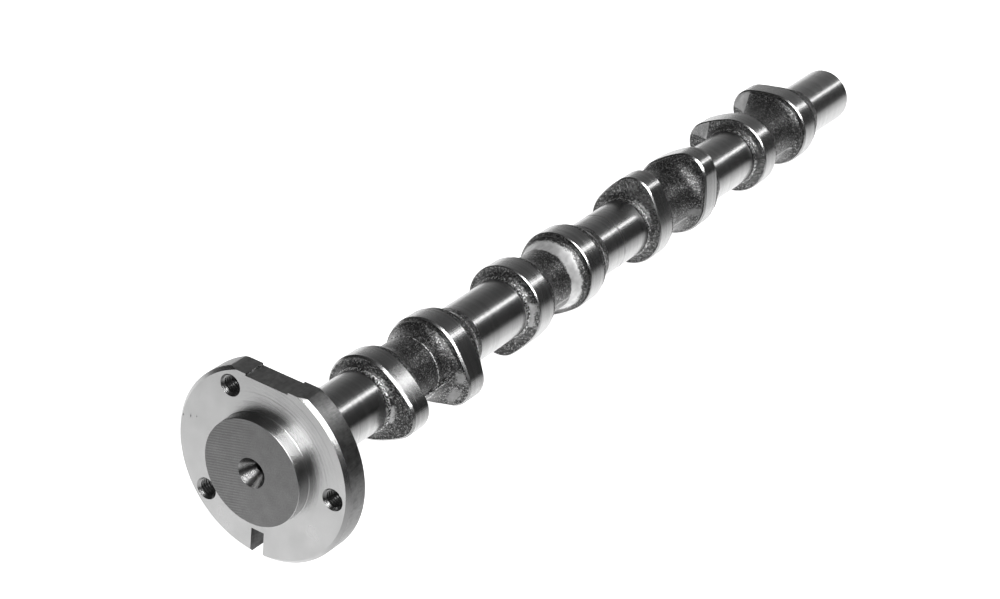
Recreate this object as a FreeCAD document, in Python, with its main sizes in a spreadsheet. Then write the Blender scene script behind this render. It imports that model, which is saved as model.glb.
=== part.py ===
import FreeCAD, Part
import math
import os
import re
import Sketcher

# Camshaft of a four-cylinder engine: one iron casting with eight cams, two to a cylinder,
# five ground journals and a turned flange that carries the timing gear.
# The body is drawn with +X from the flange's front face to the far end, on the shaft's axis,
# and +Z through the middle of the flange's flat. Angles run clockwise from +Z, seen from the
# flange. The placement then tips the shaft into the attitude in which it lies on a table.

doc = FreeCAD.newDocument("Camshaft")
sheet = doc.addObject("Spreadsheet::Sheet", "Sizes")

sizes = (
    # the pilot that centres the gear
    ("pilotRadius", 21.65),
    ("pilotHeight", 5.9),
    ("pilotChamfer", 0.5),
    ("pilotRoot", 0.4),
    # the flange, with its flats and timing slot as depths from the rim
    ("flangeRadius", 39.3),
    ("flangeThickness", 10.3),
    ("rimChamfer", 1.4),
    ("rimBackChamfer", 0.5),
    ("rootRadius", 2.0),
    ("flatDepth", 3.95),
    ("keyFlatDepth", 0.87),
    ("keyFlatWidth", 19.0),
    ("slotWidth", 5.8),
    ("slotDepth", 11.1),
    # three tapped holes, unevenly spaced so that the gear fits one way only
    ("holeRimWall", 3.75),
    ("tapDrill", 6.8),
    ("tapMouth", 9.0),
    ("boltAngleLeft", -30.0),
    ("boltAngleRight", 90.0),
    ("boltAngleLow", 230.0),
    # lathe centres in both ends
    ("centreMouth", 12.1),
    ("centreDrill", 5.0),
    ("centreAngle", 60.0),
    ("centreDepth", 14.0),
    ("endCentreMouth", 10.0),
    # the shaft
    ("shaftEnd", 448.2),
    ("journalRadius", 13.0),
    ("endChamfer", 1.0),
    ("barrelRadius", 13.5),
    # where the cams stand
    ("firstCam", 62.9),
    ("cylinderPitch", 96.9),
    ("camSpacing", 39.6),
    ("camWidth", 10.2),
    ("pairPhase", 105.0),
    ("camSplit", 18.3),
    # the cam's outline
    ("baseRadius", 17.75),
    ("camLift", 6.0),
    ("noseRadius", 10.8),
    ("flankRadius", 61.0),
    ("trackChamfer", 0.8),
    ("castInset", 1.0),
    # radii of the cast blends from the shaft up to the cams' sides
    ("frontBlend", 4.0),
    ("innerBlend", 9.5),
    ("backBlend", 11.0),
)
for row, (alias, number) in enumerate(sizes, start=1):
    sheet.set("A%d" % row, alias)
    sheet.set("B%d" % row, str(number))
    sheet.setAlias("B%d" % row, alias)
doc.recompute()

aliases = {alias for alias, number in sizes}
cylinders = 4
# turns of the pairs in quarter turns from the first pair, which gives the firing order 1-3-4-2
pairTurns = (0, 1, 3, 2)


def bound(text):
    """The expression with each size in it named as a cell of the sheet."""
    return re.sub(r"[A-Za-z]+", lambda m: "Sizes." + m[0] if m[0] in aliases else m[0], text)


def value(text):
    """The number that the expression has now."""
    return float(doc.Sizes.evalExpression(bound(text)))


body = doc.addObject("PartDesign::Body", "camshaft")
body.Label = "camshaft"
doc.recompute()


def origin(role):
    """One plane or axis of the body's own origin."""
    return next(item for item in body.Origin.OriginFeatures if item.Role == role)


def newSketch(name, role):
    """An empty sketch on one of the body's origin planes."""
    sketch = body.newObject("Sketcher::SketchObject", name)
    sketch.AttachmentSupport = [(origin(role), "")]
    sketch.MapMode = "FlatFace"
    return sketch


def hold(sketch, kind, text, *where):
    """Add a dimension and bind it to the sheet."""
    index = sketch.addConstraint(Sketcher.Constraint(kind, *where, value(text)))
    sketch.setExpression("Constraints[%d]" % index, bound(text))


def place(sketch, line, end, x, y):
    """Hold one end of a line or an arc at x, y from the sketch's origin."""
    for kind, axis, text in (("DistanceX", -2, x), ("DistanceY", -1, y)):
        if text == "0":
            sketch.addConstraint(Sketcher.Constraint("PointOnObject", line, end, axis))
        else:
            hold(sketch, kind, text, -1, 1, line, end)


def closedProfile(sketch, corners):
    """Draw a closed outline of straight lines through the corners."""
    points = [FreeCAD.Vector(value(x), value(y), 0) for x, y in corners]
    lines = [sketch.addGeometry(Part.LineSegment(start, end), False)
             for start, end in zip(points, points[1:] + points[:1])]
    for line, following, corner in zip(lines[-1:] + lines[:-1], lines, corners):
        sketch.addConstraint(Sketcher.Constraint("Coincident", line, 2, following, 1))
        place(sketch, following, 1, *corner)


def feature(kind, name, sketch, **settings):
    """A PartDesign feature from a sketch. Text settings that name sizes become expressions."""
    item = body.newObject("PartDesign::" + kind, name)
    item.Profile = sketch
    for key, setting in settings.items():
        if isinstance(setting, str) and key in ("Length", "Angle"):
            item.setExpression(key, bound(setting))
        else:
            setattr(item, key, setting)
    sketch.Visibility = False
    doc.recompute()
    return item


# A hollow quarter round is drawn as flats that touch it at 0, 30, 60 and 90 degrees, which keeps
# the casting's mesh light. Its first and last corners lie this share of its radius from its ends.
cornerShare = "tan(15 deg)"


def climb(foot, ground, radius, way="+"):
    """Corners up a hollow quarter round that leaves the ground at its foot."""
    near = "%s * %s" % (radius, cornerShare)
    far = "%s * (1 - %s)" % (radius, cornerShare)
    return [("%s %s %s" % (foot, way, x), "%s + %s" % (ground, y))
            for x, y in ((near, "0"), (far, near), (radius, far))]


def fall(foot, ground, radius):
    """Corners down such a round to its foot."""
    return climb(foot, ground, radius, "-")[::-1]


# Shaft, flange and pilot, turned between centres.
def turnShaft():
    sketch = newSketch("shaft_profile", "XZ_Plane")
    closedProfile(sketch, [
        ("-pilotHeight", "0"),
        ("-pilotHeight", "pilotRadius - pilotChamfer"),
        ("-pilotHeight + pilotChamfer", "pilotRadius"),
        ("-pilotRoot", "pilotRadius"),
        ("0", "pilotRadius + pilotRoot"),
        ("0", "flangeRadius - rimChamfer"),
        ("rimChamfer", "flangeRadius"),
        ("flangeThickness - rimBackChamfer", "flangeRadius"),
        ("flangeThickness", "flangeRadius - rimBackChamfer"),
        *fall("flangeThickness + rootRadius", "journalRadius", "rootRadius"),
        ("shaftEnd - endChamfer", "journalRadius"),
        ("shaftEnd", "journalRadius - endChamfer"),
        ("shaftEnd", "0"),
    ])
    feature("Revolution", "shaft", sketch, ReferenceAxis=(sketch, ["H_Axis"]), Angle=360)


# One cylinder's stretch of casting: a barrel and two discs, blended into it, with the four
# stretches standing a cylinder pitch apart.
def castPairs():
    first, second = "firstCam", "firstCam + camSpacing"
    disc = "baseRadius + camLift + castInset"
    inside = "journalRadius / 2"
    sketch = newSketch("pair_profile", "XZ_Plane")
    closedProfile(sketch, [
        (first + " - frontBlend * (1 - %s)" % cornerShare, inside),
        *climb(first + " - frontBlend", "journalRadius", "frontBlend"),
        (first, disc),
        (first + " + camWidth", disc),
        *fall(first + " + camWidth + innerBlend", "barrelRadius", "innerBlend"),
        *climb(second + " - innerBlend", "barrelRadius", "innerBlend"),
        (second, disc),
        (second + " + camWidth", disc),
        *fall(second + " + camWidth + backBlend", "journalRadius", "backBlend"),
        (second + " + camWidth + backBlend * (1 - %s)" % cornerShare, inside),
    ])
    pair = feature("Revolution", "pair", sketch, ReferenceAxis=(sketch, ["H_Axis"]), Angle=360)
    pattern = body.newObject("PartDesign::LinearPattern", "pairs")
    pattern.Originals = [pair]
    pattern.Direction = (origin("X_Axis"), [""])
    pattern.Mode = "Spacing"
    pattern.setExpression("Offset", bound("cylinderPitch"))
    pattern.Occurrences = cylinders
    body.Tip = pattern
    doc.recompute()


def camOutline(sketch, inset):
    """The cam's outline with its nose along the sketch's X: base circle, two flanks and a nose."""
    base = value("baseRadius - " + inset)
    nose = value("noseRadius - " + inset)
    flank = value("flankRadius - " + inset)
    noseReach = value("baseRadius + camLift - noseRadius")
    # the flank's centre lies where a circle round the axis meets one round the nose's centre
    toAxis, toNose = flank - base, flank - nose
    flankX = (toAxis ** 2 - toNose ** 2 + noseReach ** 2) / (2 * noseReach)
    flankY = math.sqrt(toAxis ** 2 - flankX ** 2)
    upper = FreeCAD.Vector(flankX, -flankY, 0)
    lower = FreeCAD.Vector(flankX, flankY, 0)
    atBase = math.atan2(flankY, -flankX)
    atNose = math.atan2(flankY, noseReach - flankX)
    normal = FreeCAD.Vector(0, 0, 1)
    axis, tip = FreeCAD.Vector(0, 0, 0), FreeCAD.Vector(noseReach, 0, 0)

    def arc(centre, radius, start, end):
        return sketch.addGeometry(
            Part.ArcOfCircle(Part.Circle(centre, normal, radius), start, end), False)

    noseArc = arc(tip, nose, -atNose, atNose)
    upperArc = arc(upper, flank, atNose, atBase)
    baseArc = arc(axis, base, atBase, 2 * math.pi - atBase)
    lowerArc = arc(lower, flank, -atBase, -atNose)
    ring = (noseArc, upperArc, baseArc, lowerArc)
    for one, other in zip(ring, ring[1:] + ring[:1]):
        sketch.addConstraint(Sketcher.Constraint("Tangent", one, 2, other, 1))
    sketch.addConstraint(Sketcher.Constraint("Coincident", baseArc, 3, -1, 1))
    sketch.addConstraint(Sketcher.Constraint("PointOnObject", noseArc, 3, -1))
    hold(sketch, "DistanceX", "baseRadius + camLift - noseRadius", -1, 1, noseArc, 3)
    hold(sketch, "Radius", "baseRadius - " + inset, baseArc)
    hold(sketch, "Radius", "noseRadius - " + inset, noseArc)
    hold(sketch, "Radius", "flankRadius - " + inset, upperArc)
    sketch.addConstraint(Sketcher.Constraint("Equal", upperArc, lowerArc))


def camSketch(name, along, turn, inset):
    """A cam's outline on a plane square to the shaft, turned to the cam's angle."""
    sketch = newSketch(name, "YZ_Plane")
    sketch.AttachmentOffset = FreeCAD.Placement(
        FreeCAD.Vector(0, 0, value(along)),
        FreeCAD.Rotation(FreeCAD.Vector(0, 0, 1), value(turn)))
    sketch.setExpression("AttachmentOffset.Base.z", bound(along))
    sketch.setExpression("AttachmentOffset.Rotation.Angle", bound(turn))
    camOutline(sketch, inset)
    return sketch


def camPlaces():
    """Number, place along the shaft and turn of every cam."""
    for cylinder, turns in enumerate(pairTurns):
        for side in (0, 1):
            number = 2 * cylinder + side + 1
            along = "firstCam + %d * cylinderPitch + %d * camSpacing" % (cylinder, side)
            half = "+" if side else "-"
            turn = "90 + pairPhase + %d * 90 %s camSplit / 2" % (turns, half)
            yield number, along, turn


# The round discs are brought to the cams' cast outline, just inside the ground one.
def trimCams():
    for number, along, turn in camPlaces():
        middle = along + " + camWidth / 2"
        sketch = camSketch("cast_outline_%d" % number, middle, turn, "castInset")
        rim = sketch.addGeometry(
            Part.Circle(FreeCAD.Vector(0, 0, 0), FreeCAD.Vector(0, 0, 1), value("flangeRadius")),
            False)
        sketch.addConstraint(Sketcher.Constraint("Coincident", rim, 3, -1, 1))
        hold(sketch, "Radius", "flangeRadius", rim)
        feature("Pocket", "cast_cam_%d" % number, sketch, Midplane=True,
                Length="camWidth + 2 * backBlend + 2 * castInset")


# The ground tracks stand proud of the casting, with chamfered edges.
def grindCams():
    for number, along, turn in camPlaces():
        sketch = camSketch("track_outline_%d" % number, along, turn, "0")
        feature("Pad", "track_%d" % number, sketch, Length="camWidth")
    planes = [value(along + step)
              for number, along, turn in camPlaces() for step in ("", " + camWidth")]
    radii = [value(name) for name in ("baseRadius", "noseRadius", "flankRadius")]

    def isTrackEdge(edge):
        if not isinstance(edge.Curve, Part.Circle):
            return False
        box = edge.BoundBox
        onFace = any(abs(box.XMin - x) + abs(box.XMax - x) < 0.001 for x in planes)
        return onFace and any(abs(edge.Curve.Radius - r) < 0.001 for r in radii)

    solid = body.Tip
    names = ["Edge%d" % (i + 1) for i, e in enumerate(solid.Shape.Edges) if isTrackEdge(e)]
    chamfer = body.newObject("PartDesign::Chamfer", "track_edges")
    chamfer.Base = (solid, names)
    chamfer.setExpression("Size", bound("trackChamfer"))
    doc.recompute()


def rectangle(name, left, right, low, high):
    """A rectangle in the plane of the flange's front face."""
    sketch = newSketch(name, "YZ_Plane")
    closedProfile(sketch, ((left, low), (right, low), (right, high), (left, high)))
    return sketch


# Two flats, one in the other, and the timing slot opposite them.
def millFlange():
    beyond = "flangeRadius + rimChamfer"
    flat = "flangeRadius - flatDepth"
    through = "2 * flangeThickness + 2 * rimChamfer"
    cuts = (
        ("flat", "-flangeRadius", "flangeRadius", flat, beyond),
        ("key_flat", "-keyFlatWidth / 2", "keyFlatWidth / 2", flat + " - keyFlatDepth", beyond),
        ("timing_slot", "-slotWidth / 2", "slotWidth / 2", "-(%s)" % beyond,
         "slotDepth - flangeRadius"),
    )
    for name, left, right, low, high in cuts:
        sketch = rectangle(name + "_outline", left, right, low, high)
        feature("Pocket", name, sketch, Midplane=True, Length=through)


# Tapped holes for the gear's screws, countersunk at the mouth.
def drillFlange():
    circle = "(flangeRadius - holeRimWall - tapDrill / 2)"
    sketch = newSketch("bolt_circle", "YZ_Plane")
    for angle in ("boltAngleLeft", "boltAngleRight", "boltAngleLow"):
        turn = math.radians(value(angle))
        spot = FreeCAD.Vector(-math.sin(turn), math.cos(turn), 0) * value(circle)
        hole = sketch.addGeometry(
            Part.Circle(spot, FreeCAD.Vector(0, 0, 1), value("tapDrill") / 2), False)
        hold(sketch, "DistanceX", "-%s * sin(%s * 1 deg)" % (circle, angle), -1, 1, hole, 3)
        hold(sketch, "DistanceY", "%s * cos(%s * 1 deg)" % (circle, angle), -1, 1, hole, 3)
        hold(sketch, "Radius", "tapDrill / 2", hole)
    doc.recompute()
    holes = body.newObject("PartDesign::Hole", "tapped_holes")
    holes.Profile = sketch
    doc.recompute()
    holes.Reversed = True
    holes.DepthType = "Dimension"
    holes.setExpression("Depth", bound("flangeThickness + rimChamfer"))
    holes.DrillPoint = "Flat"
    holes.setExpression("Diameter", bound("tapDrill"))
    holes.HoleCutType = "Countersink"
    holes.HoleCutCustomValues = True
    holes.setExpression("HoleCutDiameter", bound("tapMouth"))
    holes.HoleCutCountersinkAngle = 90
    sketch.Visibility = False
    doc.recompute()


# Lathe centres: a cone, a drilled hole and the drill's point.
def drillCentres():
    drill = "centreDrill / 2"
    point = "centreDrill / 2 / tan(59 deg)"
    for name, face, mouth, way in (
            ("front_centre", "-pilotHeight", "centreMouth / 2", "+"),
            ("end_centre", "shaftEnd", "endCentreMouth / 2", "-")):
        cone = "%s %s (%s - %s) / tan(centreAngle * 0.5 deg)" % (face, way, mouth, drill)
        bottom = "%s %s centreDepth" % (face, way)
        sketch = newSketch(name + "_profile", "XZ_Plane")
        closedProfile(sketch, (
            (face, "0"),
            (face, mouth),
            (cone, drill),
            (bottom, drill),
            ("%s %s %s" % (bottom, way, point), "0"),
        ))
        feature("Groove", name, sketch, ReferenceAxis=(sketch, ["H_Axis"]), Angle=360)


# At rest the flange stands on both edges of its slot and the last cam on its base circle.
def layDown():
    rimDrop = "sqrt(flangeRadius ^ 2 - (slotWidth / 2) ^ 2)"
    rimPlace = "flangeThickness - rimBackChamfer"
    lastPlace = "firstCam + %d * cylinderPitch + camSpacing + camWidth - trackChamfer" % (
        cylinders - 1)
    tilt = "atan((%s - baseRadius) / (%s - (%s)))" % (rimDrop, lastPlace, rimPlace)
    body.Placement = FreeCAD.Placement(
        FreeCAD.Vector(0, 0, 0), FreeCAD.Rotation(FreeCAD.Vector(0, 1, 0), value(tilt)))
    body.setExpression("Placement.Rotation.Angle", bound(tilt))


turnShaft()
castPairs()
trimCams()
grindCams()
millFlange()
drillFlange()
drillCentres()
layDown()
doc.recompute()

for item in doc.Objects:
    if "Invalid" in item.State or "Error" in item.State:
        raise RuntimeError("%s did not build" % item.Label)
if body.Shape.isNull() or not body.Shape.isValid() or len(body.Shape.Solids) != 1:
    raise RuntimeError("the camshaft is not one valid solid")

os.makedirs("parts", exist_ok=True)
body.Shape.exportStep(os.path.join("parts", body.Label + ".step"))
print("%s: %.1f cm3, box %s" % (body.Label, body.Shape.Volume / 1000, body.Shape.BoundBox))
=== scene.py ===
from math import acos, atan2, cos, pi, radians, sin, sqrt, tan

import bpy
from mathutils import Euler, Matrix, Quaternion, Vector


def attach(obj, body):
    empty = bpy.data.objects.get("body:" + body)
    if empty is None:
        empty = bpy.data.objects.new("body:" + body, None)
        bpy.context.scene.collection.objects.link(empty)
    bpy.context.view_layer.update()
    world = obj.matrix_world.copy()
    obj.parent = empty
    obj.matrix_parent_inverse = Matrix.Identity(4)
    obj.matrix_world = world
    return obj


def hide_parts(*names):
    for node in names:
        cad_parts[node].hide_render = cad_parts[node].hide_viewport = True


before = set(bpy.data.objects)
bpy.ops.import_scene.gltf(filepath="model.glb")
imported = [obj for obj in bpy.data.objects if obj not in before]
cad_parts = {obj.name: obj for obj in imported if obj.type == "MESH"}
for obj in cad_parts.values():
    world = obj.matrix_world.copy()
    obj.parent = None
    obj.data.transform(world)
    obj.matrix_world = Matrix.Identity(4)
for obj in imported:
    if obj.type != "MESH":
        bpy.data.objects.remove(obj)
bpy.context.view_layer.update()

mm = 0.001  # the sizes below are in millimetres
clear = 2  # how far a cutter reaches past what it cuts
weld = 1e-6  # metres within which doubled points are one
alike = 0.01  # millimetres within which two places count as the same

# +X lies along the shaft in its own frame, which is then tipped down towards the far end
restTilt = radians(3.1247)
toRest = Matrix.Rotation(restTilt, 4, "Y")


# working helpers: every piece is modelled on the shaft's own axis and tipped at the end

def clearSelection():
    if bpy.context.object and bpy.context.object.mode != "OBJECT":
        bpy.ops.object.mode_set(mode="OBJECT")
    bpy.ops.object.select_all(action="DESELECT")


def pick(piece):
    clearSelection()
    piece.select_set(True)
    bpy.context.view_layer.objects.active = piece


def editAll(piece):
    pick(piece)
    bpy.ops.object.mode_set(mode="EDIT")
    bpy.ops.mesh.select_all(action="SELECT")


def settle():  # back to object mode, place and turn put into the mesh
    bpy.ops.object.mode_set(mode="OBJECT")
    bpy.ops.object.transform_apply(location=True, rotation=True, scale=True)
    return bpy.context.object


def faceOutward():
    bpy.ops.mesh.select_all(action="SELECT")
    bpy.ops.mesh.normals_make_consistent(inside=False)


def latheTurn(name, profile, segments):
    # profile is a list of (place along the shaft, radius), both ends get a flat lid
    clearSelection()
    x, radius = profile[0]
    bpy.ops.mesh.primitive_circle_add(vertices=segments, radius=radius * mm, fill_type="NGON",
                                      location=(x * mm, 0, 0), rotation=(0, pi / 2, 0))
    piece = settle()
    piece.name = piece.data.name = name
    editAll(piece)
    for nextX, nextRadius in profile[1:]:
        bpy.ops.mesh.extrude_region_move(
            TRANSFORM_OT_translate={"value": ((nextX - x) * mm, 0, 0)})
        share = nextRadius / radius
        if abs(share - 1) > 1e-9:
            bpy.ops.transform.resize(value=(1, share, share), center_override=(nextX * mm, 0, 0))
        x, radius = nextX, nextRadius
    faceOutward()
    return settle()


def boolean(piece, other, how):
    clearSelection()
    bpy.context.view_layer.objects.active = piece
    cut = piece.modifiers.new(how.lower(), "BOOLEAN")
    cut.operation = how
    cut.object = other
    cut.solver = "EXACT"
    cut.material_mode = "TRANSFER"
    bpy.ops.object.modifier_apply(modifier=cut.name)
    bpy.data.objects.remove(other)
    return piece


def aroundShaft(radius, degrees):
    # y and z at an angle that runs clockwise from the top, seen from the flange
    turn = radians(degrees)
    return -radius * sin(turn), radius * cos(turn)


def quarterRound(foot, ground, radius, steps, way=1):
    # corners of a hollow quarter round that leaves the ground at its foot and ends upright
    return [(foot + way * radius * sin(a), ground + radius * (1 - cos(a)))
            for a in (radians(90) * i / steps for i in range(steps + 1))]


class Sock:
    # a node socket that takes part in ordinary arithmetic
    def __init__(self, tree, socket):
        self.tree, self.socket = tree, socket

    def also(self, out):
        return Sock(self.tree, self.socket.node.outputs[out])

    def maths(self, operation, *others):
        return self.work(operation, self, *others)

    def work(self, operation, *items):
        node = self.tree.nodes.new("ShaderNodeMath")
        node.operation = operation
        for place, item in zip(node.inputs, items):
            wire(self.tree, place, item)
        return Sock(self.tree, node.outputs[0])

    def within(self, low, high):
        return self.maths("MAXIMUM", low).maths("MINIMUM", high)

    def __add__(self, other): return self.maths("ADD", other)
    def __sub__(self, other): return self.maths("SUBTRACT", other)
    def __mul__(self, other): return self.maths("MULTIPLY", other)
    def __truediv__(self, other): return self.maths("DIVIDE", other)
    def __radd__(self, other): return self.maths("ADD", other)
    def __rsub__(self, other): return self.work("SUBTRACT", other, self)
    def __rmul__(self, other): return self.maths("MULTIPLY", other)
    def __gt__(self, other): return self.maths("GREATER_THAN", other)


def wire(tree, place, item):
    if isinstance(item, Sock):
        tree.links.new(item.socket, place)
    else:
        place.default_value = item


class NodeTree:
    # the nodes of a material or the world; node() is the way to every node but the Math ones
    def __init__(self, owner, shader):
        owner.use_nodes = True
        self.tree = owner.node_tree
        self.shader = self.tree.nodes[shader]

    def node(self, kind, settings=None, inputs=None, out=0):
        made = self.tree.nodes.new(kind)
        for key, setting in (settings or {}).items():
            if key == "stops":
                ramp = made.color_ramp
                while len(ramp.elements) > 1:
                    ramp.elements.remove(ramp.elements[-1])
                for i, (at, shade) in enumerate(setting):
                    stop = ramp.elements[0] if i == 0 else ramp.elements.new(at)
                    stop.position = at
                    stop.color = (shade, shade, shade, 1)
            else:
                setattr(made, key, setting)
        for key, item in (inputs or {}).items():
            wire(self.tree, made.inputs[key], item)
        return Sock(self.tree, made.outputs[out])

    def axes(self, place):
        first = self.node("ShaderNodeSeparateXYZ", inputs={0: place})
        return first, first.also(1), first.also(2)

    def ramp(self, item, stops):
        return self.node("ShaderNodeValToRGB", {"stops": stops}, {"Fac": item})

    def feed(self, links):
        for key, item in links.items():
            wire(self.tree, self.shader.inputs[key], item)


class Finish(NodeTree):
    # one material of the shaft, laid out in the shaft's own frame
    def __init__(self, name, metallic):
        self.material = bpy.data.materials.new(name)
        super().__init__(self.material, "Principled BSDF")
        self.feed({"Metallic": metallic})
        self.place = self.node("ShaderNodeMapping", inputs={
            "Vector": self.node("ShaderNodeTexCoord", out="Object"),
            "Rotation": (0, -restTilt, 0)})

    def point(self, x, y, z):
        return self.node("ShaderNodeCombineXYZ", inputs={0: x, 1: y, 2: z})

    def noise(self, where, scale, detail=2.0, rough=0.5):
        return self.node("ShaderNodeTexNoise", inputs={
            "Vector": where, "Scale": scale, "Detail": detail, "Roughness": rough})

    def bump(self, height, depth, strength=1.0):  # depth in millimetres
        return self.node("ShaderNodeBump", inputs={
            "Height": height, "Distance": depth * mm, "Strength": strength})


# finishes; noise scales are in grains to the metre, along and across the shaft where two are given

groundLook = {
    "fineMarks": (7000.0, 30.0), "broadMarks": (900.0, 14.0), "broadShare": 0.55,
    "tones": [(0.3, 0.37), (0.7, 0.61)], "roughness": 0.19, "depth": 0.012,
    # the thin dark ring where something rubbed on the third bearing
    "rubAt": 0.2343, "rubHalf": 0.0009, "rubScale": 90.0, "rubTones": [(0.4, 0.15), (0.55, 0.85)],
}


def groundFinish():
    g = groundLook
    ground = Finish("ground_iron", 1.0)
    x, y, z = ground.axes(ground.place)
    along, across = g["fineMarks"]
    fine = ground.noise(ground.point(x * along, y * across, z * across), 1.0, 3.0, 0.7)
    along, across = g["broadMarks"]
    broad = ground.noise(ground.point(x * along, y * across, z * across), 1.0, 2.0, 0.6)
    marks = broad * g["broadShare"] + fine * (1 - g["broadShare"])
    rub = (1.0 - (x - g["rubAt"]).maths("ABSOLUTE") / g["rubHalf"]).maths("MAXIMUM", 0.0)
    rub = rub * ground.ramp(ground.noise(ground.place, g["rubScale"]), g["rubTones"])
    ground.feed({"Base Color": ground.ramp(marks, g["tones"]) * (1.0 - rub),
                 "Roughness": g["roughness"] + marks * 0.12 + rub * 0.2,
                 "Normal": ground.bump(fine, g["depth"], 0.5)})
    return ground.material


castLook = {
    "grainScale": 2000.0, "speckScale": 2300.0, "lumpScale": 300.0, "depth": 0.12,
    "tones": [(0.34, 0.025), (0.5, 0.07), (0.62, 0.14), (0.74, 0.42)], "roughness": 0.25,
    "speckShare": 0.55, "grainShare": 0.3, "lumpShare": 0.15,
    "raggedLumps": 3.0, "raggedGrains": 2.0,  # how much these fray the dressed patches' edges
    "soft": 0.7, "softTurn": 4.0,  # and how wide those edges are, in millimetres and degrees
}

# where the casting was dressed smooth with a hand wheel, in millimetres and degrees from the top
fettled = {
    "rings": [  # x from, x to, angle from, angle to, radius from, radius to, brightness
        (189.7, 195.9, -200, 200, 12.0, 16.3, 0.8), (155.0, 159.95, 62, 108, 12.0, 18.3, 0.45),
        (58.5, 63.0, 76, 111, 12.0, 15.0, 0.5), (288.0, 295.5, 86, 102, 12.0, 17.0, 0.22),
        (99.0, 102.6, 82, 101, 16.5, 22.2, 0.32), (97.0, 102.6, 109, 134, 16.5, 23.0, 0.3),
        (252.0, 256.8, -8, 42, 15.0, 25.0, 0.22)],
    "flats": [  # x from, x to, y from, y to, z from, z to, brightness
        (386.0, 393.3, 14.4, 30.0, 4.5, 30.0, 0.45),
        (348.0, 353.7, 14.3, 30.0, 3.5, 30.0, 0.45)],
    "seams": [(173.0, 190.0), (270.0, 289.0), (366.0, 388.0)],  # along the mould's parting line
    "seamAngle": 103.0, "seamHalf": 0.7, "seamShade": 0.42,
}


def castFinish():
    look = castLook
    cast = Finish("cast_iron", 0.7)
    x, y, z = (axis * 1000.0 for axis in cast.axes(cast.place))
    radius = (y * y + z * z).maths("SQRT")
    turn = (y * -1.0).maths("ARCTAN2", z) * (180 / pi)
    grains = cast.noise(cast.place, look["grainScale"], 2.0, 0.6)
    specks = cast.node("ShaderNodeTexVoronoi", {"feature": "F1"}, {
        "Vector": cast.place, "Scale": look["speckScale"], "Randomness": 1.0})
    tints = specks.also("Color")  # one brightness for each grain
    lumps = cast.noise(cast.place, look["lumpScale"], 3.0, 0.5)
    ragged = (lumps - 0.5) * look["raggedLumps"] + (grains - 0.5) * look["raggedGrains"]

    def window(item, low, high, soft):
        return (((item - low) / soft).maths("MINIMUM", 1.0)
                .maths("MINIMUM", (high - item) / soft).maths("MAXIMUM", 0.0))

    patches = []
    for low, high, left, right, inner, outer, tone in fettled["rings"]:
        patches.append((window(x + ragged, low, high, look["soft"])
                        * window(turn + ragged * look["softTurn"], left, right, look["softTurn"])
                        * window(radius + ragged, inner, outer, look["soft"]), tone))
    for low, high, left, right, under, over, tone in fettled["flats"]:
        patches.append((window(x, low, high, 0.2) * window(y, left, right, 0.3)
                        * window(z + ragged * 0.3, under, over, 0.4), tone))
    seam, half = radians(fettled["seamAngle"]), fettled["seamHalf"]
    off = y * -cos(seam) - z * sin(seam)
    side = (z * cos(seam) - y * sin(seam)) > 0.0
    for low, high in fettled["seams"]:
        patches.append((side * window(x + ragged, low, high, 0.5)
                        * window(off + ragged * 0.4, -half, half, 0.3), fettled["seamShade"]))
    smooth, dressed = patches[0][0], patches[0][0] * patches[0][1]
    for patch, tone in patches[1:]:
        smooth = smooth.maths("MAXIMUM", patch)
        dressed = dressed.maths("MAXIMUM", patch * tone)
    rough = 1.0 - smooth * 0.75
    shade = cast.ramp(tints * look["speckShare"] + grains * look["grainShare"]
                      + lumps * look["lumpShare"], look["tones"])
    height = (grains * 0.8 - specks * 0.5) * rough + lumps * 0.4
    cast.feed({"Base Color": shade * (1.0 - smooth) + dressed * (0.55 + lumps * 0.9),
               "Roughness": look["roughness"] + grains * 0.1 + smooth * 0.25,
               "Normal": cast.bump(height, look["depth"])})
    return cast.material


lipLook = {"grainScale": 1300.0, "tones": [(0.42, 0.06), (0.5, 0.35), (0.57, 1.0)],
           "roughness": 0.3, "depth": 0.35}


def lipFinish():
    # the edge that grinding left bright where casting and bearing meet
    lip = Finish("bright_lip", 1.0)
    grains = lip.noise(lip.place, lipLook["grainScale"], 2.0, 0.6)
    lip.feed({"Base Color": lip.ramp(grains, lipLook["tones"]),
              "Roughness": lipLook["roughness"] + grains * 0.15,
              "Normal": lip.bump(grains, lipLook["depth"])})
    return lip.material


milledLook = {"marks": (300.0, 2500.0), "cloudScale": 500.0, "roughness": 0.3, "depth": 0.03}


def milledFinish(name, low, high):
    milled = Finish(name, 1.0)
    x, y, z = milled.axes(milled.place)
    along, across = milledLook["marks"]
    marks = milled.noise(milled.point(x * along, y * across, z * across), 1.0, 2.0, 0.6)
    cloud = milled.noise(milled.place, milledLook["cloudScale"], 3.0, 0.6)
    milled.feed({
        "Base Color": milled.ramp(marks * 0.4 + cloud * 0.6, [(0.35, low), (0.65, high)]),
        "Roughness": milledLook["roughness"] + cloud * 0.16,
        "Normal": milled.bump(marks + cloud, milledLook["depth"], 0.6)})
    return milled.material


turnedLook = {
    "ringScale": 7000.0, "alongScale": 5000.0, "cloudScale": 90.0, "roughness": 0.22,
    # knocks on the flange face: y and z in millimetres, and half their length
    "knocks": [(36.9, 6.6, 0.9), (33.4, 7.5, 1.2), (30.6, 8.4, 0.6)],
    "knockSlant": 2.6, "knockShade": 0.6, "knockDepth": 3.0,
}


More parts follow.
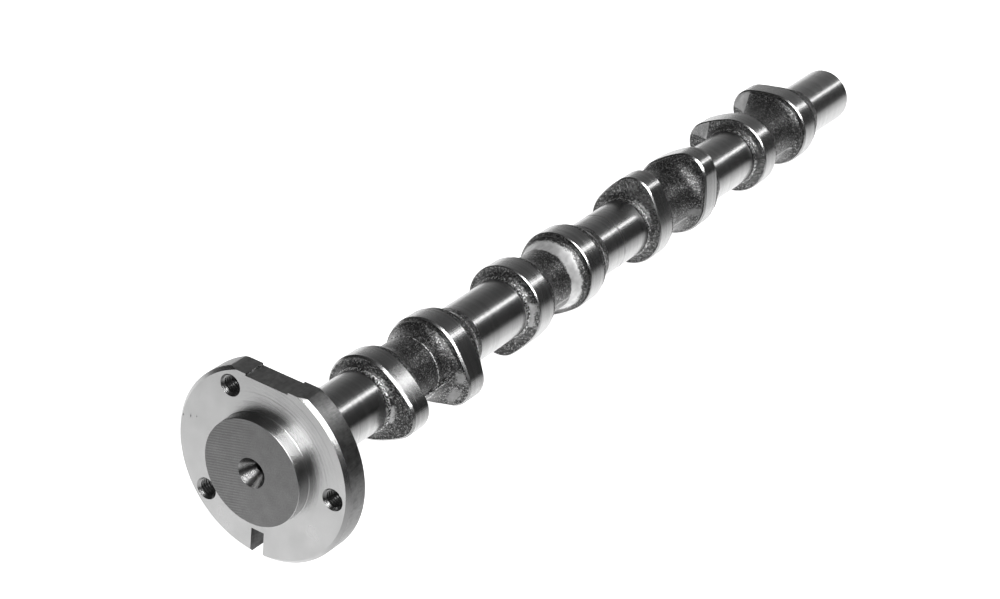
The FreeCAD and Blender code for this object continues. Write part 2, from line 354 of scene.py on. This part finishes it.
def turnedFinish(name, low, high, depth, knocks=()):
    t = turnedLook
    turned = Finish(name, 1.0)
    x, y, z = turned.axes(turned.place)
    radius = (y * y + z * z).maths("SQRT")
    where = turned.point(radius * t["ringScale"], x * t["alongScale"], 0.0)
    rings = turned.noise(where, 1.0, 2.0, 0.6)
    cloud = turned.noise(turned.place, t["cloudScale"], 2.0, 0.5)
    shade = turned.ramp(cloud * 0.7 + rings * 0.3, [(0.3, low), (0.7, high)])
    height = rings
    for across, up, half in knocks:
        off = (((y * 1000.0 - across) * t["knockSlant"]).maths("ABSOLUTE")
               + (z * 1000.0 - up).maths("ABSOLUTE"))
        knock = (1.0 - off / half).within(0.0, t["knockShade"])
        shade = shade * (1.0 - knock)
        height = height - knock * t["knockDepth"]
    turned.feed({"Base Color": shade, "Roughness": t["roughness"] + cloud * 0.08,
                 "Normal": turned.bump(height, depth, 0.8)})
    return turned.material


facedLook = {
    "linePitch": 0.00114, "lineSlant": 0.28, "lineShade": 0.16,
    "paintedLitFrom": -0.002, "paintedLitOver": 0.009, "paintedLitLeast": 0.12,  # painted light: the lines fade to the right and show fully only on the left half, where the light catches them
    "cloudScale": 160.0, "grainScale": 2200.0, "tones": [(0.3, 0.12), (0.7, 0.21)],
    "roughness": 0.42, "depth": 0.04,
}


def facedFinish():
    # the pilot's face, with the cutter's parallel lines plainest on its left half, where they catch
    # the light; that fade is painted light
    f = facedLook
    faced = Finish("faced_iron", 1.0)
    y, z = faced.axes(faced.place)[1:]
    lines = ((z + y * f["lineSlant"]) * (2 * pi / f["linePitch"])).maths("SINE")
    # painted light: the lines' shade and bump fade out to the right, as if lit only on the left
    # half
    paintedLitLines = ((y - f["paintedLitFrom"]) / f["paintedLitOver"]).within(f["paintedLitLeast"], 1.0)
    cloud = faced.noise(faced.place, f["cloudScale"], 3.0, 0.6)
    grain = faced.noise(faced.place, f["grainScale"], 2.0, 0.6)
    tone = faced.ramp(cloud * 0.4 + grain * 0.6, f["tones"])
    faced.feed({"Base Color": tone * (1.0 + lines * paintedLitLines * f["lineShade"]),
                "Roughness": f["roughness"] + cloud * 0.1,
                "Normal": faced.bump(lines * paintedLitLines * 0.5 + grain, f["depth"], 0.6)})
    return faced.material


finishes = {"ground": groundFinish(), "cast": castFinish(),
            "turned": turnedFinish("turned_iron", 0.37, 0.45, 0.06, turnedLook["knocks"]),
            "hub": turnedFinish("hub_iron", 0.38, 0.5, 0.04),
            # tapped holes and lathe centres are painted darker than the turned faces: painted shade
            # in the recesses
            "shadedBore": turnedFinish("bored_iron_painted_shade", 0.2, 0.32, 0.03),
            "faced": facedFinish(), "lip": lipFinish(),
            "milled": milledFinish("milled_iron", 0.22, 0.38),
            # the slot's colour is painted near black: painted shade in the recess
            "shadedSlot": milledFinish("slot_iron_painted_shade", 0.04, 0.12)}
print("finishes made")


def dress(piece, *names):
    piece.data.materials.clear()
    for name in names:
        piece.data.materials.append(finishes[name])
    return piece


# the blank: flange, pilot, bearings and rough stretches in one turned profile

shaftSizes = {
    "pilotRadius": 21.65, "pilotHeight": 5.9, "pilotChamfer": 0.2, "pilotRoot": 0.2,
    "flangeRadius": 39.3, "flangeThickness": 10.3, "rimChamfer": 1.4, "rimBackChamfer": 0.5,
    "rootRadius": 2.0, "journalRadius": 13.0, "end": 448.2, "endChamfer": 1.0,
    "flatHeight": 35.35, "keyFlatHeight": 34.48, "keyFlatWidth": 19.0,
    "slotWidth": 5.8, "slotFloor": 28.2,
    "segments": 192, "rootSteps": 6, "smoothAngle": 28,
}

camSizes = {
    "first": 62.9, "pitch": 96.9, "spacing": 39.6, "width": 10.2, "cylinders": 4,
    "pairPhase": 105.0, "split": 18.3, "pairTurns": (0, 1, 3, 2),
    "base": 17.75, "lift": 6.0, "nose": 10.8, "flank": 61.0,
    "chamfers": (0.8, 0.7, 0.4, 0.4, 0.5, 0.7, 0.5, 0.6), "castInset": 1.0, "sideGap": 0.03,
    "barrel": 13.5, "frontBlend": 4.0, "innerBlend": 9.5, "backBlend": 11.0,
    "frontSteps": 8, "innerSteps": 14, "backSteps": 16, "noseSteps": 24, "baseSteps": 96,
    "discPast": 2, "ringPast": 6, "ringSteps": 48,  # the turned disc, and the ring that trims it
    "lip": 0.35,  # what the casting stands proud of a bearing it runs into
    "lipShape": ((-0.28, 0.0), (-0.2, 0.55), (-0.02, 0.92), (0.2, 1.0)),  # along, share of it
    "lipGap": 0.05,  # how far above the lip the round goes on
}


def castFoot(foot, ground, radius, steps, way=1):
    # a quarter round that starts from a lip
    lip = camSizes["lip"]
    flat = radius * sin(acos(1 - lip / radius))
    arc = [point for point in quarterRound(foot, ground, radius, steps, way)
           if point[1] > ground + lip + camSizes["lipGap"]]
    start = [(foot + way * along, ground + share * lip) for along, share in camSizes["lipShape"]]
    start.append((foot + way * flat, ground + lip + alike))
    return start + arc if way > 0 else arc[::-1] + start[::-1]


def castStretch(first):
    # hollow round up to each cam's disc and down again, between two bearings
    c, ground = camSizes, shaftSizes["journalRadius"]
    gap, disc = c["sideGap"], c["base"] + c["lift"] + c["discPast"]
    second = first + c["spacing"]
    innerFoot = castFoot if first == c["first"] else quarterRound
    firstBack, secondBack = first + c["width"] - gap, second + c["width"] - gap
    first, second = first + gap, second + gap
    return [
        *quarterRound(first - c["frontBlend"], ground, c["frontBlend"], c["frontSteps"]),
        (first, disc), (firstBack, disc),
        *quarterRound(firstBack + c["innerBlend"], c["barrel"], c["innerBlend"],
                      c["innerSteps"], -1)[::-1],
        *innerFoot(second - c["innerBlend"], c["barrel"], c["innerBlend"], c["innerSteps"]),
        (second, disc), (secondBack, disc),
        *castFoot(secondBack + c["backBlend"], ground, c["backBlend"], c["backSteps"], -1),
    ]


blankFinishes = ("turned", "ground", "cast", "faced", "lip", "milled", "hub")


def blankFinish(face, vertices):
    # ground bearings, bright lips and the rest as cast; the flange is turned, its rim milled
    s, c = shaftSizes, camSizes
    spots = [vertices[i].co for i in face.vertices]
    radii = [sqrt(spot.y ** 2 + spot.z ** 2) / mm for spot in spots]
    slant = abs(face.normal.x)
    if face.center.x > (s["flangeThickness"] + s["rootRadius"]) * mm:
        if max(radii) < s["journalRadius"] + 0.001:
            return "ground"
        onLip = max(radii) < c["barrel"] + c["lip"] + 0.005
        return "lip" if onLip and 0.2 < slant < 0.999 else "cast"
    if face.center.x < (s["pilotChamfer"] - s["pilotHeight"]) * mm and slant > 0.9:
        return "faced"
    if min(radii) > s["flangeRadius"] - alike:
        return "milled"
    return "hub" if face.center.x < 0 and slant < 0.95 else "turned"


def makeBlank():
    s, c = shaftSizes, camSizes
    profile = [
        (-s["pilotHeight"], s["pilotRadius"] - s["pilotChamfer"]),
        (-s["pilotHeight"] + s["pilotChamfer"], s["pilotRadius"]),
        (-s["pilotRoot"], s["pilotRadius"]),
        (0, s["pilotRadius"] + s["pilotRoot"]),
        (0, s["flangeRadius"] - s["rimChamfer"]),
        (s["rimChamfer"], s["flangeRadius"]),
        (s["flangeThickness"] - s["rimBackChamfer"], s["flangeRadius"]),
        (s["flangeThickness"], s["flangeRadius"] - s["rimBackChamfer"]),
        *quarterRound(s["flangeThickness"] + s["rootRadius"], s["journalRadius"],
                      s["rootRadius"], s["rootSteps"], -1)[::-1]]
    for cylinder in range(c["cylinders"]):
        profile += castStretch(c["first"] + cylinder * c["pitch"])
    profile += [(s["end"] - s["endChamfer"], s["journalRadius"]),
                (s["end"], s["journalRadius"] - s["endChamfer"])]
    blank = dress(latheTurn("camshaft_iron", profile, s["segments"]), *blankFinishes)
    for face in blank.data.polygons:
        face.material_index = blankFinishes.index(blankFinish(face, blank.data.vertices))
    return blank


def boxCutter(low, high, finish):
    clearSelection()
    size = [(b - a) * mm for a, b in zip(low, high)]
    middle = [(a + b) / 2 * mm for a, b in zip(low, high)]
    bpy.ops.mesh.primitive_cube_add(size=1, location=middle)
    bpy.ops.transform.resize(value=size)
    return dress(settle(), finish)


def millFlange(shaft):
    s = shaftSizes
    rim, back = s["flangeRadius"] + clear, s["flangeThickness"] + clear
    keyHalf, slotHalf = s["keyFlatWidth"] / 2, s["slotWidth"] / 2
    # the slot cutter leaves its faces in the near-black slot finish, painted shade
    for low, high, finish in (
            ((-clear, -rim, s["flatHeight"]), (back, rim, rim), "milled"),
            ((-clear, -keyHalf, s["keyFlatHeight"]), (back, keyHalf, rim), "milled"),
            ((-clear, -slotHalf, -rim), (back, slotHalf, -s["slotFloor"]), "shadedSlot")):
        boolean(shaft, boxCutter(low, high, finish), "DIFFERENCE")
    for face in shaft.data.polygons:  # the burr left on the two low steps of the flat
        y, z = abs(face.center.y) / mm, face.center.z / mm
        if z > s["keyFlatHeight"] and abs(y - keyHalf) < alike:
            face.material_index = blankFinishes.index("lip")


# tapped holes and lathe centres

holeSizes = {
    "circle": 32.15, "angles": (-30.0, 90.0, 230.0), "drill": 6.8, "mouth": 9.0, "segments": 64,
    "twist": 1.7,  # turns the cutter a little, so that no edge of it meets one of the flange's
    "threadRadius": 4.0, "pitch": 1.25, "threadSteps": 40,
    "grooveIn": 0.58, "grooveShape": (0.56, 1, 0.54), "threadPast": 0.7, "turnsPast": 1.2,
}


def holeCutter(angle):
    s, h = shaftSizes, holeSizes
    sink = (h["mouth"] - h["drill"]) / 2
    bore = h["drill"] / 2
    cutter = latheTurn("hole", [(-1, h["mouth"] / 2 + 1), (sink, bore),
                                (s["flangeThickness"] + 1, bore)], h["segments"])
    y, z = aroundShaft(h["circle"] * mm, angle)
    editAll(cutter)
    bpy.ops.transform.rotate(value=radians(h["twist"]), orient_axis="X",
                             center_override=(0, 0, 0))
    bpy.ops.transform.translate(value=(0, y, z))
    return dress(settle(), "shadedBore")


def threadCutter(angle):
    # one V groove wound along the whole tapped hole
    s, h = shaftSizes, holeSizes
    pitch, turns = h["pitch"], s["flangeThickness"] / h["pitch"] + h["turnsPast"]
    clearSelection()
    bpy.ops.mesh.primitive_circle_add(vertices=3, radius=pitch * mm, fill_type="NOTHING",
                                      rotation=(pi / 2, 0, 0), location=(0, 0, 0))
    groove = settle()
    groove.name = "thread"
    middle = h["threadRadius"] - pitch * h["grooveIn"]
    editAll(groove)
    bpy.ops.transform.rotate(value=-pi / 2, orient_axis="Y", center_override=(0, 0, 0))
    bpy.ops.transform.resize(value=h["grooveShape"], center_override=(0, 0, 0))
    bpy.ops.transform.translate(value=(middle * mm, 0, 0))
    settle()
    wind = groove.modifiers.new("wind", "SCREW")
    wind.axis, wind.angle = "Z", 2 * pi
    wind.screw_offset, wind.iterations = pitch * mm, int(turns)
    wind.steps = wind.render_steps = h["threadSteps"]
    wind.use_merge_vertices = True
    bpy.ops.object.modifier_apply(modifier=wind.name)
    editAll(groove)
    bpy.ops.mesh.remove_doubles(threshold=weld)
    bpy.ops.mesh.fill_holes(sides=0)
    faceOutward()
    y, z = aroundShaft(h["circle"] * mm, angle)
    bpy.ops.transform.rotate(value=pi / 2, orient_axis="Y", center_override=(0, 0, 0))
    bpy.ops.transform.translate(value=((s["flangeThickness"] + h["threadPast"]) * mm, y, z))
    return dress(settle(), "shadedBore")


centreSizes = {"mouth": 12.1, "endMouth": 10.0, "drill": 5.0, "depth": 14.0, "halfAngle": 30.0,
               "point": 59.0, "tip": 0.05, "segments": 64}


def centreCutter(face, mouth, way):
    c = centreSizes
    drill = c["drill"] / 2
    spread = tan(radians(c["halfAngle"]))
    cone = (mouth / 2 - drill) / spread
    profile = [(face - way, mouth / 2 + spread), (face + way * cone, drill),
               (face + way * c["depth"], drill),
               (face + way * (c["depth"] + drill / tan(radians(c["point"]))), c["tip"])]
    if way < 0:
        profile = profile[::-1]
    return dress(latheTurn("centre", profile, c["segments"]), "shadedBore")


# the eight cams

def camPrism(name, x0, x1, angle, inset):
    # the outline is traced as arcs round their own centres from the nose on, then pulled along X
    c = camSizes
    base, nose, flank = c["base"] - inset, c["nose"] - inset, c["flank"] - inset
    reach = c["base"] + c["lift"] - c["nose"]
    toAxis, toNose = flank - base, flank - nose
    along = (toAxis ** 2 - toNose ** 2 + reach ** 2) / (2 * reach)
    aside = sqrt(toAxis ** 2 - along ** 2)
    atBase, atNose = atan2(aside, -along), atan2(aside, reach - along)
    turn = radians(angle)

    def spot(u, v):  # u towards the nose, v square to it, seen from the flange
        return (0, (-u * sin(turn) - v * cos(turn)) * mm, (u * cos(turn) - v * sin(turn)) * mm)

    clearSelection()
    bpy.ops.mesh.primitive_plane_add(size=mm, location=(x0 * mm, 0, 0))
    piece = settle()
    piece.name = name
    editAll(piece)
    bpy.ops.mesh.merge(type="CENTER")
    start = Vector(spot(reach + nose * cos(atNose), -nose * sin(atNose)))
    bpy.ops.transform.translate(value=start)
    short, long = c["noseSteps"], c["baseSteps"]
    arcs = (((reach, 0), 2 * atNose, short), ((along, -aside), atBase - atNose, short),
            ((0, 0), 2 * (pi - atBase), long), ((along, aside), atBase - atNose, short))
    for centre, sweep, steps in arcs:
        x, y, z = spot(*centre)
        bpy.ops.mesh.spin(steps=steps, angle=sweep, center=(x0 * mm, y, z), axis=(-1, 0, 0))
    bpy.ops.mesh.select_all(action="SELECT")
    bpy.ops.mesh.remove_doubles(threshold=weld)
    bpy.ops.mesh.edge_face_add()
    bpy.ops.mesh.extrude_region_move(TRANSFORM_OT_translate={"value": ((x1 - x0) * mm, 0, 0)})
    faceOutward()
    return settle()


def camPlaces():
    # cylinder, where the cam starts along the shaft, its angle and its chamfer
    c = camSizes
    for cylinder, turns in enumerate(c["pairTurns"]):
        for side in (0, 1):
            yield (cylinder, c["first"] + cylinder * c["pitch"] + side * c["spacing"],
                   c["pairPhase"] + 90 * turns + (side - 0.5) * c["split"],
                   c["chamfers"][2 * cylinder + side])


def trimCasting(shaft, first, pair):
    # what the turned discs have outside the two cams' cast outlines is taken off
    c = camSizes
    start, middle = first - c["frontBlend"] - 1, first + (c["spacing"] + c["width"]) / 2
    end = first + c["spacing"] + c["width"] + c["backBlend"] + 1
    rim = c["base"] + c["lift"] + c["ringPast"]
    for x0, x1, angle in ((start, middle, pair[0]), (middle, end, pair[1])):
        ring = dress(latheTurn("ring", [(x0, rim), (x1, rim)], c["ringSteps"]), "cast")
        boolean(ring, camPrism("outline", x0 - 1, x1 + 1, angle, c["castInset"]), "DIFFERENCE")
        boolean(shaft, ring, "DIFFERENCE")


def makeTrack(x0, angle, chamfer):
    track = camPrism("track", x0, x0 + camSizes["width"], angle, 0)
    for edge in track.data.edges:  # both rims
        ends = [track.data.vertices[i].co.x for i in edge.vertices]
        edge.select = abs(ends[0] - ends[1]) < weld
    for group in (track.data.polygons, track.data.vertices):
        for item in group:
            item.select = False
    pick(track)
    bpy.ops.object.mode_set(mode="EDIT")
    bpy.ops.mesh.select_mode(type="EDGE")
    bpy.ops.mesh.bevel(offset=chamfer * mm, offset_type="OFFSET", segments=1)
    bpy.ops.mesh.select_mode(type="VERT")
    track = dress(settle(), "ground", "cast")
    for face in track.data.polygons:  # only the track and its chamfers are ground
        face.material_index = 1 if abs(face.normal.x) > 0.9 else 0
    return track


# the flash left standing in the corner between the first two cams
finSizes = {"from": (84.6, 106.0, 13.75), "to": (98.9, 93.0, 15.95),  # x, angle, radius
            "width": 0.6, "depth": 2.4}


def makeFin():
    f = finSizes
    start, end = (Vector((x, *aroundShaft(radius, angle))) * mm
                  for x, angle, radius in (f["from"], f["to"]))
    along = end - start
    outward = start + end
    outward.x = 0
    outward.normalize()
    tall = along.cross(outward).cross(along).normalized()
    finAxes = Matrix((along.normalized(), tall.cross(along).normalized(), tall)).transposed()
    clearSelection()
    bpy.ops.mesh.primitive_cube_add(size=1, rotation=finAxes.to_euler(),
                                    location=(start + end) / 2 - tall * f["depth"] / 2 * mm,
                                    scale=(along.length, f["width"] * mm, f["depth"] * mm))
    return dress(settle(), "lip")


shaft = makeBlank()
print("blank turned:", len(shaft.data.polygons), "faces")

for number in range(camSizes["cylinders"]):
    pair = [angle for cylinder, start, angle, chamfer in camPlaces() if cylinder == number]
    trimCasting(shaft, camSizes["first"] + number * camSizes["pitch"], pair)
for cylinder, start, angle, chamfer in camPlaces():
    boolean(shaft, makeTrack(start, angle, chamfer), "UNION")
boolean(shaft, makeFin(), "UNION")
print("cams cut and joined:", len(shaft.data.polygons), "faces")

millFlange(shaft)
for angle in holeSizes["angles"]:
    tapped = boolean(holeCutter(angle), threadCutter(angle), "UNION")
    boolean(shaft, tapped, "DIFFERENCE")
boolean(shaft, centreCutter(-shaftSizes["pilotHeight"], centreSizes["mouth"], 1), "DIFFERENCE")
boolean(shaft, centreCutter(shaftSizes["end"], centreSizes["endMouth"], -1), "DIFFERENCE")
print("flange milled and drilled:", len(shaft.data.polygons), "faces")

pick(shaft)
bpy.ops.object.shade_smooth_by_angle(angle=radians(shaftSizes["smoothAngle"]))
shaft.matrix_world = toRest
bpy.ops.object.transform_apply(location=True, rotation=True, scale=True)
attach(shaft, "root")
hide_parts("camshaft")


# floor, lamps and camera, in metres

studio = {
    "floorDrop": 0.0397, "floorSize": 6.0, "floorShade": 0.8, "floorGlow": 1.0, "glossyGlow": 0.8,
    "floorNear": 0.03, "floorFar": 0.2,  # how far from the shaft the floor shows white in the iron
    "frontNear": -0.05, "frontFar": -0.35, "frontLeast": 0.25,  # and how it fades before the flange
    "lampPlace": (-1.50, -1.38, 2.03), "lampAim": (0.2, 0.0, 0.0), "lampSize": (2.2, 0.62),
    "lampRoll": -53.3, "lampPower": 81.0,
    "stripPlace": (3.15, -1.147, 1.638), "stripAim": (3.15, 0.0, 0.0), "stripSize": (4.7, 0.28),
    "stripRoll": 0.0, "stripPower": 17.0,
    "dark": 0.04,
    # a grey wall behind on the left, brighter low down: where it starts and how far it fades in
    "wallLeft": (-0.38, 0.3), "wallBehind": (-0.1, 0.4),
    "wallTones": [(0.0, 0.55), (0.17, 0.38), (0.31, 0.27), (0.42, 0.2), (0.53, 0.13), (0.62, 0.08)],
}


def seenRays(nodes):
    # 1 for what the camera sees, straight or through something clear
    rays = nodes.node("ShaderNodeLightPath", out="Is Camera Ray")
    return rays + rays.also("Is Transmission Ray")


def makeFloor():
    s = studio
    clearSelection()
    bpy.ops.mesh.primitive_plane_add(size=s["floorSize"], location=(0.2, 0, -s["floorDrop"]))
    floor = settle()
    floor.name = "floor"
    look = bpy.data.materials.new("pale_floor")
    pale = NodeTree(look, "Principled BSDF")
    pale.feed({"Roughness": 1.0, "Specular IOR Level": 0.0, "Emission Strength": 1.0})
    x, y = pale.axes(pale.node("ShaderNodeTexCoord", out="Object"))[:2]
    # in the iron the floor fades away from the shaft on the right hand
    away = (y * -1.0 - s["floorNear"]) / (s["floorFar"] - s["floorNear"])
    near = 1.0 - away.within(0.0, 1.0).maths("POWER", 0.5)
    ahead = (x - s["frontFar"]) / (s["frontNear"] - s["frontFar"])
    near = near * ahead.within(s["frontLeast"], 1.0)
    glossy = pale.node("ShaderNodeLightPath", out="Is Glossy Ray")
    glow = seenRays(pale) * s["floorGlow"] + glossy * near * s["glossyGlow"]
    pale.feed({"Emission Color": glow,
               "Base Color": (1.0 - glossy * (1.0 - near)) * s["floorShade"]})
    floor.data.materials.append(look)


def makeSky():
    world = bpy.data.worlds.new("studio")
    bpy.context.scene.world = world
    sky = NodeTree(world, "Background")
    x, y, z = sky.axes(sky.node("ShaderNodeTexCoord", out="Generated"))
    tone = sky.ramp(z, studio["wallTones"])
    start, over = studio["wallLeft"]
    left = ((y - start) / over).within(0.0, 1.0)
    start, over = studio["wallBehind"]
    behind = ((x - start) / over).within(0.0, 1.0)
    room = studio["dark"] + left * behind * (tone - studio["dark"])
    sky.feed({"Color": room.maths("MAXIMUM", seenRays(sky).maths("MINIMUM", 1.0))})


def makeLamp(name):
    clearSelection()
    place = Vector(studio[name + "Place"])
    aim = Vector(studio[name + "Aim"]) - place
    turn = aim.to_track_quat("-Z", "Y") @ Quaternion((0, 0, 1), radians(studio[name + "Roll"]))
    bpy.ops.object.light_add(type="AREA", location=place, rotation=turn.to_euler())
    lamp = bpy.context.object
    lamp.name = name
    lamp.data.shape = "RECTANGLE"
    lamp.data.size, lamp.data.size_y = studio[name + "Size"]
    lamp.data.energy = studio[name + "Power"]


makeFloor()
makeSky()
makeLamp("lamp")
makeLamp("strip")

view = {"place": (-0.58636, -0.45465, 0.53751), "turn": (58.0463, -3.803, -56.1371),
        "lens": 90.506, "sensor": 36}
bpy.ops.object.camera_add(location=view["place"],
                          rotation=Euler([radians(a) for a in view["turn"]]))
camera = bpy.context.object
camera.data.lens = view["lens"]
camera.data.sensor_width = view["sensor"]
bpy.context.scene.camera = camera
bpy.context.scene.view_settings.view_transform = "Standard"
print("floor, lamps and camera placed")
